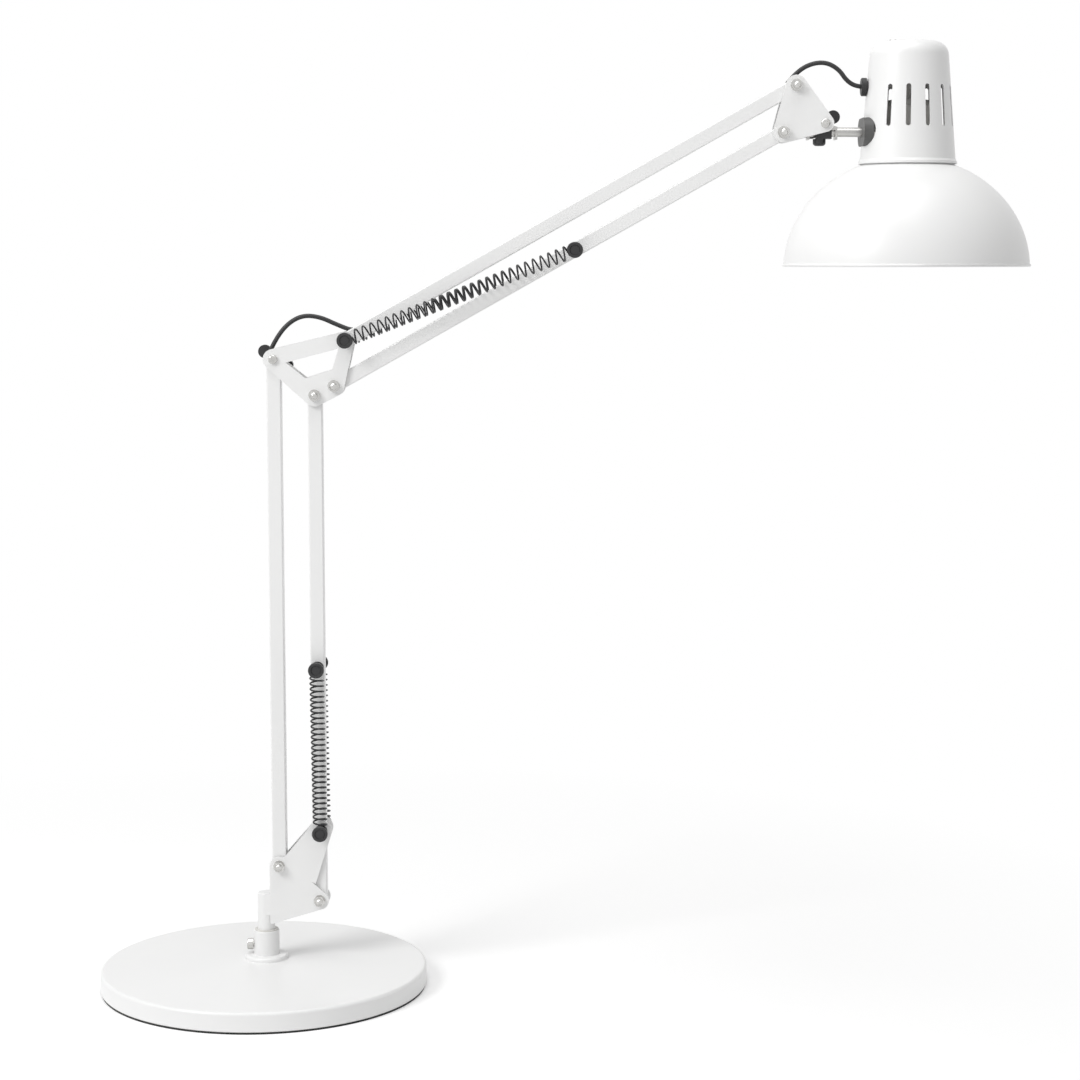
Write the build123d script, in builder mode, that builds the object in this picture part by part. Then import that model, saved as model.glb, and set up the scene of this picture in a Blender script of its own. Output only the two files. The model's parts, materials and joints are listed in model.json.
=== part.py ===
from build123d import *
import math
import os

# Counterweight balance desk lamp: round base, two spring-balanced parallelogram arms, dome shade.
# Millimetres, +Z up, +X from the post towards the head, -Y is the front side.
# The origin is on the base's underside, on the swivel axis, which stands behind the plate's middle.

# ---------------------------------------------------------------- driving sizes

# base and swivel
base_radius = 113.9
base_thickness = 13.4
post_setback = 16.0
base_edge_round = 2.2
base_low_chamfer = 0.6
pad_inset = 0.7
pad_thickness = 1.4
collar_radius = 9.0
collar_height = 20.6
flange_radius = 15.2
flange_thickness = 3.2
flange_edge_round = 1.8
collar_edge_round = 0.5
flange_screw_circle = 12.0
flange_screw_radius = 1.5
flange_screw_head = 2.9
flange_screw_bite = 2.2
flange_screw_clearance = 0.1
bush_wall = 1.3
bush_lip_height = 0.6
bush_lip_radius = 8.4
bush_lip_round = 0.25
post_radius = 6.0
post_height = 47.5
post_edge = 0.5
post_foot_gap = 0.1
thumbscrew_height = 24.8
thumbscrew_radius = 4.0
thumbscrew_length = 4.2
thumbscrew_shank = 2.0
thumbscrew_gap = 0.4
thumbscrew_edge_round = 0.6

# the two arms: pivots of each parallelogram, as (x, z) in the arm plane
lower_pivot_x = 10.2
lower_pivot_z = 82.7
lower_link = (28.3, -24.8)
lower_arm_length = 356.3
lower_arm_angle = 90.0
elbow_step = (41.7, -18.35)
upper_link = (8.5, 31.5)
upper_arm_length = 352.9
upper_arm_angle = 29.3
tilt_step = (28.4, 6.05)

# square tube of the arms
bar_width = 10.0
bar_depth = 10.0
bar_wall = 1.0
bar_corner = 1.0
bar_slot_width = 4.4

# plates and their fasteners
plate_thickness = 1.5
bar_washer_thickness = 0.9
bar_washer_gap = 0.05
bolt_radius = 2.0
lock_screw_radius = 1.75
running_gap = 0.05
washer_radius = 4.1
washer_thickness = 0.8
nut_across_flats = 6.6
nut_height = 3.2
nut_dome_radius = 2.8
bolt_head_radius = 3.6
bolt_head_height = 2.4
bolt_head_round = 1.1
screw_head_radius = 3.2
screw_head_height = 2.4
screw_head_round = 1.3
recess_length = 3.4
recess_width = 0.9
recess_depth = 1.0

# base bracket outline
bracket_post_lobe = 6.7
bracket_front_lobe = 6.5
bracket_spring_lobe = 7.4
bracket_bottom = 41.1
bracket_corner = 1.2
lower_anchor = (29.8, 25.4)
bracket_notch = (25.7, -12.7)
bracket_slope_foot = (-1.0, 1.1)
tongue_length = 20.0
tongue_bottom = 47.0

# elbow plate outline
elbow_lobe_a = 7.0
elbow_lobe_b = 7.6
elbow_lobe_c = 7.3
elbow_lobe_d = 5.9
window_from_a = (8.7, -2.3)
window_from_d = (-5.2, -5.9)
window_from_c = (-1.0, 11.2)
window_from_b = (-6.1, 11.8)

# springs and the spools that hold them
spring_offset = 13.2
spring_outer_radius = 5.25
spring_wire = 1.2
spring_turns = 25
spring_lead = 1.0
spring_run_in = 2.0
lower_spring_post = 166.0
upper_spring_post = 190.1
spool_core_radius = 3.5
spool_flange_radius = 4.4
spool_flange_width = 1.2
spool_cap_radius = 5.5
spool_cap_width = 2.4
spool_end = 18.6
spool_dish_radius = 3.6
spool_dish_depth = 0.8
spool_web = 1.0
spool_edge = 0.5

# locking knobs behind the plates
knob_reach = 8.9
knob_lobe_radius = 4.6
knob_hub_radius = 5.0
knob_hub_length = 8.6
knob_wing_start = 2.6
knob_wing_width = 4.6
knob_waist = 6.4
knob_edge_round = 0.8
elbow_knob_angle = 147.5
tilt_knob_angle = 34.6

# head bracket and stem clamp
head_lobe = 7.0
tilt_lobe = 6.0
clamp_left = 11.9
clamp_right = 8.4
clamp_bottom = 11.0
clamp_ear_radius = 5.8
clamp_shoulder = 2.4
clamp_cheek = 4.6
clamp_wall = 1.4
clamp_side_gap = 0.1
block_left = 5.75
block_right = 4.75
block_gap = 0.15
block_lift = 0.6
stem_drop = 5.8
stem_radius = 3.25
stem_bore = 2.0
stem_inset = 0.8
stem_overhang = 0.3
stem_knob_radius = 4.4
stem_knob_height = 4.7
stem_knob_left = 3.3
stem_knob_shank = 1.5
stem_knob_round = 2.2

# head
head_offset = 57.3
shade_radius = 83.9
shade_rise = 76.6
shade_rim_height = 2.8
shade_wall = 0.9
shade_bead = 1.1
shade_collar_radius = 31.45
shade_collar_height = 7.0
rim_below_stem = 90.3
housing_gap = 0.5
housing_flare_radius = 33.5
housing_flare_height = 1.6
housing_base_radius = 32.4
housing_top_radius = 26.0
housing_height = 82.5
housing_corner = 10.0
housing_wall = 0.8
slot_count = 10
slot_pitch = 360.0 / 14.0
slot_start = -124.0
slot_length = 28.0
slot_width = 3.3
slot_centre_height = 38.6
side_opening_width = 37.5
side_opening_height = 19.2
guide_gap = 0.15
guide_overhang = 1.1
housing_screw_places = (-11.1, 3.9)
housing_screw_radius = 1.5
housing_screw_head = 2.9
housing_screw_head_height = 1.4
housing_screw_round = 0.85

# lampholder, its strap and the bulb
strap_width = 12.0
strap_thickness = 1.5
strap_offset = 24.75
strap_bottom = 10.0
strap_shoulder = 38.5
strap_reach = 9.0
strap_top_left = 15.0
strap_bend = 4.0
stem_nut_thickness = 3.0
stem_nut_flats = 10.0
holder_radius = 19.5
holder_height = 45.4
holder_bottom = 2.0
holder_neck_radius = 8.5
holder_shoulder_width = 5.0
holder_shoulder_height = 4.0
holder_foot_width = 3.5
holder_foot_height = 2.5
holder_screw_depth = 3.0
holder_screw_length = 1.6
holder_bore = 13.6
holder_bore_depth = 27.0
bulb_cap_radius = 13.2
bulb_cap_height = 24.5
bulb_cap_round = 3.0
bulb_seat_gap = 0.5
bulb_radius = 22.5
bulb_neck_radius = 11.5
bulb_length = 50.0
bulb_neck_height = 6.0
bulb_globe_arc = 127.0
bulb_wall = 0.8

# lead
cord_radius = 1.55
grommet_height = 30.4
grommet_radius = 6.2
grommet_flange = 4.2
grommet_body = 4.0
grommet_inner_flange = 5.2
grommet_edge = 0.6
grommet_seat_gap = 0.5
grommet_inner_width = 1.2
grommet_run_out = 6.5
grommet_run_in = 2.0
exit_grommet_height = 56.0
exit_grommet_body = 3.0
exit_grommet_radius = 4.2
exit_grommet_flange = 2.5
exit_grommet_play = 0.2
lead_gap = 0.5

# ---------------------------------------------------------------- places worked out from the sizes


def shifted(point, step):
    return (point[0] + step[0], point[1] + step[1])


def along(point, angle, distance, lift=0.0):
    """The point a distance along a bar's line and a lift square to it."""
    turn = math.radians(angle)
    return (
        point[0] + distance * math.cos(turn) - lift * math.sin(turn),
        point[1] + distance * math.sin(turn) + lift * math.cos(turn),
    )


pivot_rear = (lower_pivot_x, lower_pivot_z)
pivot_front = shifted(pivot_rear, lower_link)
elbow_a = along(pivot_rear, lower_arm_angle, lower_arm_length)
elbow_b = shifted(elbow_a, lower_link)
elbow_c = shifted(elbow_a, elbow_step)
elbow_d = shifted(elbow_c, upper_link)
head_l = along(elbow_c, upper_arm_angle, upper_arm_length)
head_u = shifted(head_l, upper_link)
head_t = shifted(head_l, tilt_step)
spring_s = shifted(pivot_rear, lower_anchor)
spring_q = along(pivot_front, lower_arm_angle, lower_spring_post)
spring_r = along(elbow_c, upper_arm_angle, upper_spring_post)

plate_inside = bar_depth / 2 + bar_washer_thickness + 2 * bar_washer_gap
plate_outside = plate_inside + plate_thickness
washer_outside = plate_outside + washer_thickness
pin_end = spool_end - spool_dish_depth - spool_web
base_top = pad_thickness + base_thickness
plate_middle = (0, -post_setback)
collar_top = base_top + collar_height
post_bottom = base_top + post_foot_gap
post_top = post_bottom + post_height

stem_z = head_t[1] - stem_drop
head_x = head_t[0] + head_offset
rim_z = stem_z - rim_below_stem
shade_centre_z = rim_z - shade_rim_height
collar_z = shade_centre_z + shade_rise * math.sqrt(1 - (shade_collar_radius / shade_radius) ** 2)
housing_z = collar_z + housing_gap
housing_top = housing_z + housing_height

# ---------------------------------------------------------------- shared helpers


def side(y):
    """A plane square to Y: sketches on it are in (x, z), and it faces the front."""
    return Plane(origin=(0, y, 0), x_dir=(1, 0, 0), z_dir=(0, -1, 0))


def save(name, label):
    name.part.label = label
    export_step(name.part, "parts/" + label + ".step")


def round_pins(points, radius, front, rear):
    """One round pin across the arm plane at each point."""
    with BuildPart() as pins:
        with BuildSketch(side(rear)):
            with Locations(*points):
                Circle(radius)
        extrude(amount=rear - front)
    return pins


def washers(points, bore, layers, radius=washer_radius):
    """Flat washers at each point, one for each (front, rear) pair of layers."""
    with BuildPart() as rings:
        for front, rear in layers:
            with BuildSketch(side(rear)):
                with Locations(*points):
                    Circle(radius)
                    Circle(bore, mode=Mode.SUBTRACT)
            extrude(amount=rear - front)
    return rings


def pivot_bolts(points):
    """Bolts through both plates, with a low round head at the rear."""
    with BuildPart() as bolts:
        with BuildSketch(side(washer_outside)):
            with Locations(*points):
                Circle(bolt_radius)
        extrude(amount=2 * washer_outside + nut_height)
        with BuildSketch(side(washer_outside + bolt_head_height)):
            with Locations(*points):
                Circle(bolt_head_radius)
        extrude(amount=bolt_head_height)
        rims = bolts.edges().filter_by(GeomType.CIRCLE).group_by(Axis.Y)[-1]
        fillet(rims, bolt_head_round)
    return bolts


def dome_nuts(points):
    """Hexagon nuts with a closed dome, on the bolts' front ends."""
    with BuildPart() as nuts:
        with BuildSketch(side(-washer_outside)):
            with Locations(*points):
                RegularPolygon(nut_across_flats / 2, 6, major_radius=False)
        extrude(amount=nut_height)
        with Locations(*[(x, -washer_outside - nut_height, z) for x, z in points]):
            Sphere(nut_dome_radius)
        with BuildSketch(side(-washer_outside)):
            with Locations(*points):
                Circle(bolt_radius + running_gap)
        extrude(amount=nut_height + running_gap, mode=Mode.SUBTRACT)
    return nuts


def pan_screw(point, radius, rear):
    """A pan-head screw with a cross recess, its head on the front plate."""
    with BuildPart() as screw:
        with BuildSketch(side(rear)):
            with Locations(point):
                Circle(radius)
        extrude(amount=rear + plate_outside)
        with BuildSketch(side(-plate_outside)):
            with Locations(point):
                Circle(screw_head_radius)
        extrude(amount=screw_head_height)
        rim = screw.edges().filter_by(GeomType.CIRCLE).group_by(Axis.Y)[0]
        fillet(rim, screw_head_round)
        with BuildSketch(side(-plate_outside - screw_head_height)):
            with Locations(point):
                Rectangle(recess_length, recess_width, rotation=45)
                Rectangle(recess_width, recess_length, rotation=45)
        extrude(amount=-recess_depth, mode=Mode.SUBTRACT)
    return screw


def spring_spools(point, start, bore):
    """A pair of grooved spools, front and rear, each closed by a dished cap at its outer end."""
    with BuildPart() as spools:
        with BuildSketch(Plane(origin=(point[0], 0, point[1]), x_dir=(1, 0, 0), z_dir=(0, 0, 1))):
            with BuildLine():
                Polyline(
                    (bore, start),
                    (spool_flange_radius, start),
                    (spool_flange_radius, start + spool_flange_width),
                    (spool_core_radius, start + spool_flange_width),
                    (spool_core_radius, spool_end - spool_cap_width),
                    (spool_cap_radius, spool_end - spool_cap_width),
                    (spool_cap_radius, spool_end - spool_edge),
                    (spool_cap_radius - spool_edge, spool_end),
                    (spool_dish_radius, spool_end),
                    (spool_dish_radius - spool_edge, spool_end - spool_dish_depth),
                    (0, spool_end - spool_dish_depth),
                    (0, pin_end),
                    (bore, pin_end),
                    close=True,
                )
            make_face()
        revolve(axis=Axis((point[0], 0, point[1]), (0, 1, 0)))
        mirror(about=Plane.XZ)
    return spools


def arm_bar(start, angle, length, posts=(), slots=()):
    """Square tube from one pivot to the other, its side walls rounded at the ends.

    posts are distances of cross holes; slots are (from, to, side) cuts in an edge wall.
    """
    plane = Plane(
        origin=(start[0], 0, start[1]),
        x_dir=(math.cos(math.radians(angle)), 0, math.sin(math.radians(angle))),
        z_dir=(0, -1, 0),
    )
    half = bar_depth / 2
    with BuildPart() as bar:
        with BuildSketch(plane.offset(-half)):
            with Locations((length / 2, 0)):
                SlotCenterToCenter(length, bar_width)
        extrude(amount=bar_depth)
        long_edges = bar.edges().filter_by(lambda edge: edge.length > length * 0.9)
        fillet(long_edges, bar_corner)
        with BuildSketch(plane.offset(bar_wall - half)):
            with Locations((length / 2, 0)):
                Rectangle(length + 2 * bar_width, bar_width - 2 * bar_wall)
        extrude(amount=bar_depth - 2 * bar_wall, mode=Mode.SUBTRACT)
        with BuildSketch(plane.offset(-half)):
            with Locations((0, 0), (length, 0)):
                Circle(bolt_radius + running_gap)
            if posts:
                with Locations(*[(place, 0) for place in posts]):
                    Circle(bolt_radius)
        extrude(amount=bar_depth, mode=Mode.SUBTRACT)
        for begin, finish, edge in slots:
            with BuildSketch(plane.offset(-bar_slot_width / 2)):
                with Locations(((begin + finish) / 2, edge * bar_width / 2)):
                    Rectangle(finish - begin, bar_width / 2)
            extrude(amount=bar_slot_width, mode=Mode.SUBTRACT)
    return bar


def wing_knob(point, angle, bore):
    """Two-lobed locking knob behind the rear plate, turning about its screw."""
    lobes = [along(point, angle, knob_reach), along(point, angle, -knob_reach)]
    with BuildPart() as knob:
        with BuildSketch(side(plate_outside + running_gap + knob_hub_length)):
            with Locations(point):
                Circle(knob_hub_radius)
        extrude(amount=knob_hub_length)
        with BuildSketch(side(plate_outside + knob_wing_start + knob_wing_width)):
            with Locations(*lobes):
                Circle(knob_lobe_radius)
            with Locations(point):
                Rectangle(2 * knob_reach, knob_waist, rotation=angle)
                Circle(knob_hub_radius)
        extrude(amount=knob_wing_width)
        caps = knob.edges().filter_by(GeomType.CIRCLE).group_by(Axis.Y)[-1]
        fillet(caps, knob_edge_round)
        with BuildSketch(side(plate_outside + running_gap + knob_hub_length)):
            with Locations(point):
                Circle(bore)
        extrude(amount=knob_hub_length, mode=Mode.SUBTRACT)
    return knob


def hull_plate(circles, y, cuts, window=()):
    """Flat plate whose outline wraps round circles given as (point, radius).

    cuts are (point, radius) holes; window is the list of corners of a cut-out middle.
    """
    with BuildPart() as plate:
        with BuildSketch(side(y)):
            with BuildSketch(mode=Mode.PRIVATE) as outline:
                for point, radius in circles:
                    with Locations(point):
                        Circle(radius)
                make_hull()
            add(outline.sketch)
            if window:
                with BuildLine():
                    Polyline(*window, close=True)
                make_face(mode=Mode.SUBTRACT)
            for point, radius in cuts:
                with Locations(point):
                    Circle(radius, mode=Mode.SUBTRACT)
        extrude(amount=plate_thickness)
    return plate


def biarc(start, start_way, end, end_way):
    """Two tangent arcs from start to end, added to the line that is being built."""
    chord = end - start
    ways = start_way + end_way
    spread = 2 * (1 - start_way.dot(end_way))
    lean = chord.dot(ways)
    reach = (math.sqrt(lean * lean + spread * chord.dot(chord)) - lean) / spread
    near = start + start_way * reach
    far = end - end_way * reach
    middle = (near + far) * 0.5
    TangentArc(start, middle, tangent=start_way)
    TangentArc(middle, end, tangent=(far - near).normalized())


def coil_spring(start, end, y):
    """Tension spring between two spools: one tube, straight at both ends, wound in half turns."""
    first = Vector(start[0], y, start[1])
    last = Vector(end[0], y, end[1])
    way = (last - first).normalized()
    across = Vector(0, 1, 0)
    up = way.cross(across)
    mean_radius = spring_outer_radius - spring_wire / 2
    inset = spool_core_radius + spring_lead + spring_run_in
    pitch = ((last - first).length - 2 * inset) / spring_turns

    def on_coil(turn):
        angle = 2 * math.pi * turn
        swing = across * math.cos(angle) + up * math.sin(angle)
        return first + way * (inset + pitch * turn) + swing * mean_radius

    def way_on_coil(turn):
        angle = 2 * math.pi * turn
        swing = up * math.cos(angle) - across * math.sin(angle)
        return (swing * mean_radius + way * (pitch / (2 * math.pi))).normalized()

    lead_start = first + way * spool_core_radius
    lead_end = first + way * (spool_core_radius + spring_lead)
    tail_start = last - way * (spool_core_radius + spring_lead)
    tail_end = last - way * spool_core_radius
    with BuildPart() as spring:
        with BuildLine() as route:
            Line(lead_start, lead_end)
            biarc(lead_end, way, on_coil(0), way_on_coil(0))
            for half_turn in range(2 * spring_turns):
                begin = half_turn / 2
                finish = begin + 0.5
                biarc(on_coil(begin), way_on_coil(begin), on_coil(finish), way_on_coil(finish))
            biarc(on_coil(spring_turns), way_on_coil(spring_turns), tail_start, way)
            Line(tail_start, tail_end)
        with BuildSketch(Plane(origin=lead_start, z_dir=way)):
            Circle(spring_wire / 2)
        sweep()
    samples = 24
    points = [on_coil(step / samples) for step in range(spring_turns * samples + 1)]
    gaps = [
        (points[i] - points[j]).length - spring_wire
        for i in range(len(points))
        for j in range(i + samples // 2, min(i + 2 * samples, len(points)))
    ]
    print("spring: pitch %.2f, least gap to itself %.2f mm" % (pitch, min(gaps)))
    return spring


def cord_tube(points, radius):
    """Flexible lead along straight runs joined by tangent arcs, as large as the runs allow."""
    vectors = [Vector(x, 0, z) for x, z in points]
    radii = []
    for before, corner, after in zip(vectors, vectors[1:], vectors[2:]):
        run_in = corner - before
        run_out = after - corner
        turn = math.radians(run_in.get_angle(run_out))
        radii.append(0.45 * min(run_in.length, run_out.length) / math.tan(turn / 2))
    with BuildPart() as tube:
        with BuildLine() as route:
            FilletPolyline(*vectors, radius=radii)
        with BuildSketch(Plane(origin=vectors[0], z_dir=vectors[1] - vectors[0])):
            Circle(radius)
        sweep()
    length = route.wire().length
    share = tube.part.volume / (math.pi * radius**2 * length)
    print("cord: length %.1f, bend radii %s, volume share %.3f" % (
        length, ", ".join("%.0f" % bend for bend in radii), share))
    return tube


os.makedirs("parts", exist_ok=True)

# ---------------------------------------------------------------- base

screw_spots = [
    (flange_screw_circle * math.cos(turn), flange_screw_circle * math.sin(turn))
    for turn in [math.radians(30 + 120 * step) for step in range(3)]
]
screw_cone = flange_screw_head - flange_screw_radius

with BuildPart() as base_plate:
    with BuildSketch(Plane.XY.offset(pad_thickness)):
        with Locations(plate_middle):
            Circle(base_radius)
    extrude(amount=base_thickness)
    fillet(base_plate.edges().group_by(Axis.Z)[-1], base_edge_round)
    chamfer(base_plate.edges().group_by(Axis.Z)[0], base_low_chamfer)
    with BuildSketch(Plane.XY.offset(pad_thickness)):
        with Locations(*screw_spots):
            Circle(flange_screw_radius + flange_screw_clearance)
    extrude(amount=base_thickness, mode=Mode.SUBTRACT)
    with Locations(*[(x, y, pad_thickness + screw_cone / 2) for x, y in screw_spots]):
        Cone(flange_screw_head + flange_screw_clearance, flange_screw_radius + flange_screw_clearance, screw_cone,
             mode=Mode.SUBTRACT)
save(base_plate, "base_plate")

with BuildPart() as base_pad:
    with BuildSketch(Plane.XY):
        with Locations(plate_middle):
            Circle(base_radius - pad_inset)
    extrude(amount=pad_thickness)
save(base_pad, "base_pad")

bush_radius = post_radius + running_gap + bush_wall
with BuildPart() as base_collar:
    with BuildSketch(Plane.XY.offset(base_top)):
        Circle(flange_radius)
    extrude(amount=flange_thickness)
    fillet(base_collar.edges().group_by(Axis.Z)[-1], flange_edge_round)
    with BuildSketch(Plane.XY.offset(base_top)):
        Circle(collar_radius)
    extrude(amount=collar_height)
    fillet(base_collar.edges().group_by(Axis.Z)[-1], collar_edge_round)
    with BuildSketch(Plane.XY.offset(base_top)):
        Circle(bush_radius)
    extrude(amount=collar_height, mode=Mode.SUBTRACT)
    with BuildSketch(Plane.XY.offset(base_top)):
        with Locations(*screw_spots):
            Circle(flange_screw_radius)
    extrude(amount=flange_screw_bite, mode=Mode.SUBTRACT)
    with BuildSketch(Plane.YZ):
        with Locations((0, thumbscrew_height)):
            Circle(thumbscrew_shank + running_gap)
    extrude(amount=-2 * collar_radius, mode=Mode.SUBTRACT)
save(base_collar, "base_collar")

with BuildPart() as collar_bush:
    with BuildSketch(Plane.XY.offset(base_top)):
        Circle(bush_radius)
    extrude(amount=collar_height)
    with BuildSketch(Plane.XY.offset(collar_top)):
        Circle(bush_lip_radius)
    extrude(amount=bush_lip_height)
    fillet(collar_bush.edges().group_by(Axis.Z)[-1], bush_lip_round)
    with BuildSketch(Plane.XY.offset(base_top)):
        Circle(post_radius + running_gap)
    extrude(amount=collar_height + bush_lip_height, mode=Mode.SUBTRACT)
    with BuildSketch(Plane.YZ):
        with Locations((0, thumbscrew_height)):
            Circle(thumbscrew_shank + running_gap)
    extrude(amount=-2 * collar_radius, mode=Mode.SUBTRACT)
save(collar_bush, "collar_bush")

with BuildPart() as base_screws:
    with BuildSketch(Plane.XY.offset(pad_thickness)):
        with Locations(*screw_spots):
            Circle(flange_screw_radius)
    extrude(amount=base_thickness + flange_screw_bite)
    with Locations(*[(x, y, pad_thickness + screw_cone / 2) for x, y in screw_spots]):
        Cone(flange_screw_head, flange_screw_radius, screw_cone)
save(base_screws, "base_screws")

with BuildPart() as swivel_thumbscrew:
    with BuildSketch(Plane.YZ.offset(-post_radius - running_gap)):
        with Locations((0, thumbscrew_height)):
            Circle(thumbscrew_shank)
    extrude(amount=-(collar_radius - post_radius + thumbscrew_gap))
    with BuildSketch(Plane.YZ.offset(-collar_radius - thumbscrew_gap)):
        with Locations((0, thumbscrew_height)):
            Circle(thumbscrew_radius)
    extrude(amount=-thumbscrew_length)
    ends = swivel_thumbscrew.edges().filter_by(GeomType.CIRCLE).group_by(Axis.X)[0]
    fillet(ends, thumbscrew_edge_round)
save(swivel_thumbscrew, "swivel_thumbscrew")

# ---------------------------------------------------------------- swivelling post and base bracket

with BuildPart() as post:
    with BuildSketch(Plane.XY.offset(post_bottom)):
        Circle(post_radius)
    extrude(amount=post_height)
    chamfer(post.edges().group_by(Axis.Z)[-1], post_edge)
    with BuildSketch(Plane.XY.offset(tongue_bottom)):
        with Locations((tongue_length / 2, 0)):
            Rectangle(tongue_length, 2 * plate_inside)
    extrude(amount=post_top - tongue_bottom)
save(post, "post")


def base_bracket(y):
    """Side plate with a lobe at each pivot and a raised lobe for the spring's anchor."""
    foot = shifted(pivot_rear, bracket_slope_foot)
    notch = shifted(pivot_rear, bracket_notch)
    corner = (pivot_rear[0] - bracket_post_lobe + bracket_corner, bracket_bottom + bracket_corner)
    with BuildPart() as plate:
        with BuildSketch(side(y)):
            with BuildSketch(mode=Mode.PRIVATE) as body:
                with Locations(pivot_rear):
                    Circle(bracket_post_lobe)
                with Locations(pivot_front):
                    Circle(bracket_front_lobe)
                with Locations(corner):
                    Circle(bracket_corner)
                make_hull()
            with BuildSketch(mode=Mode.PRIVATE) as ear:
                with Locations(spring_s):
                    Circle(bracket_spring_lobe)
                with BuildLine():
                    Polyline(foot, notch, pivot_rear, close=True)
                make_face()
                make_hull()
            add(body.sketch)
            add(ear.sketch)
            with Locations(pivot_rear, pivot_front, spring_s):
                Circle(bolt_radius, mode=Mode.SUBTRACT)
        extrude(amount=plate_thickness)
    return plate


base_bracket_front = base_bracket(-plate_inside)
save(base_bracket_front, "base_bracket_front")
base_bracket_rear = base_bracket(plate_outside)
save(base_bracket_rear, "base_bracket_rear")

outer_layers = [(-washer_outside, -plate_outside), (plate_outside, washer_outside)]
bar_side = bar_depth / 2 + bar_washer_gap
inner_layers = [(-bar_side - bar_washer_thickness, -bar_side), (bar_side, bar_side + bar_washer_thickness)]

base_pivots = [pivot_rear, pivot_front]
with BuildPart() as base_pivot_bolts:
    add(pivot_bolts(base_pivots).part)
    with BuildPart(mode=Mode.PRIVATE) as anchor_studs:
        with BuildSketch(side(-plate_inside)):
            with Locations(spring_s):
                Circle(bolt_radius)
        extrude(amount=pin_end - plate_inside)
        mirror(about=Plane.XZ)
    add(anchor_studs.part)
save(base_pivot_bolts, "base_pivot_bolts")
base_dome_nuts = dome_nuts(base_pivots)
save(base_dome_nuts, "base_dome_nuts")
base_washers = washers(base_pivots, bolt_radius, outer_layers + inner_layers)
save(base_washers, "base_washers")

lower_anchor_spools = spring_spools(spring_s, plate_outside, bolt_radius)
save(lower_anchor_spools, "lower_anchor_spools")

# ---------------------------------------------------------------- lower arm

rear_bar = arm_bar(
    pivot_rear, lower_arm_angle, lower_arm_length,
    slots=[(lower_arm_length - bar_width, lower_arm_length + bar_width, 1)],
)
with BuildPart() as rear_bar_drilled:
    add(rear_bar.part)
    with BuildSketch(side(bar_depth / 2)):
        with Locations(along(pivot_rear, lower_arm_angle, exit_grommet_height)):
            Circle(exit_grommet_body)
    extrude(amount=bar_wall * 2, mode=Mode.SUBTRACT)
save(rear_bar_drilled, "rear_bar")

front_bar = arm_bar(pivot_front, lower_arm_angle, lower_arm_length, posts=[lower_spring_post])
save(front_bar, "front_bar")
front_bar_pin = round_pins([spring_q], bolt_radius, -pin_end, pin_end)
save(front_bar_pin, "front_bar_pin")
front_bar_spools = spring_spools(spring_q, bar_depth / 2, bolt_radius)
save(front_bar_spools, "front_bar_spools")

for label, y in (("lower_spring_front", -spring_offset), ("lower_spring_rear", spring_offset)):
    lower_spring = coil_spring(spring_s, spring_q, y)
    save(lower_spring, label)

# ---------------------------------------------------------------- elbow

elbow_circles = [
    (elbow_a, elbow_lobe_a), (elbow_b, elbow_lobe_b), (elbow_c, elbow_lobe_c), (elbow_d, elbow_lobe_d),
]
elbow_holes = [
    (elbow_a, lock_screw_radius), (elbow_b, bolt_radius), (elbow_c, bolt_radius), (elbow_d, bolt_radius),
]
elbow_window = [
    shifted(elbow_a, window_from_a), shifted(elbow_d, window_from_d),
    shifted(elbow_c, window_from_c), shifted(elbow_b, window_from_b),
]
elbow_plate_front = hull_plate(elbow_circles, -plate_inside, elbow_holes, elbow_window)
save(elbow_plate_front, "elbow_plate_front")
elbow_plate_rear = hull_plate(elbow_circles, plate_outside, elbow_holes, elbow_window)
save(elbow_plate_rear, "elbow_plate_rear")

elbow_pivots = [elbow_b, elbow_c]
elbow_pivot_bolts = pivot_bolts(elbow_pivots)
save(elbow_pivot_bolts, "elbow_pivot_bolts")
elbow_dome_nuts = dome_nuts(elbow_pivots)
save(elbow_dome_nuts, "elbow_dome_nuts")
with BuildPart() as elbow_washers:
    add(washers(elbow_pivots, bolt_radius, outer_layers + inner_layers).part)
    add(washers([elbow_a, elbow_d], bolt_radius, inner_layers).part)
save(elbow_washers, "elbow_washers")

knob_end = plate_outside + running_gap + knob_hub_length
elbow_lock_screw = pan_screw(elbow_a, lock_screw_radius, knob_end)
save(elbow_lock_screw, "elbow_lock_screw")
elbow_knob = wing_knob(elbow_a, elbow_knob_angle, lock_screw_radius + running_gap)
save(elbow_knob, "elbow_knob")
elbow_anchor_pin = round_pins([elbow_d], bolt_radius, -pin_end, pin_end)
save(elbow_anchor_pin, "elbow_anchor_pin")
elbow_anchor_spools = spring_spools(elbow_d, plate_outside, bolt_radius)
save(elbow_anchor_spools, "elbow_anchor_spools")

# ---------------------------------------------------------------- upper arm

upper_bar = arm_bar(
    elbow_d, upper_arm_angle, upper_arm_length,
    slots=[(-bar_width, 1.6 * bar_width, 1),
           (upper_arm_length - 2.0 * bar_width, upper_arm_length + bar_width, 1)],
)
save(upper_bar, "upper_bar")
under_bar = arm_bar(elbow_c, upper_arm_angle, upper_arm_length, posts=[upper_spring_post])
save(under_bar, "under_bar")
under_bar_pin = round_pins([spring_r], bolt_radius, -pin_end, pin_end)
save(under_bar_pin, "under_bar_pin")
under_bar_spools = spring_spools(spring_r, bar_depth / 2, bolt_radius)
save(under_bar_spools, "under_bar_spools")

for label, y in (("upper_spring_front", -spring_offset), ("upper_spring_rear", spring_offset)):
    upper_spring = coil_spring(elbow_d, spring_r, y)
    save(upper_spring, label)

# ---------------------------------------------------------------- head bracket

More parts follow.
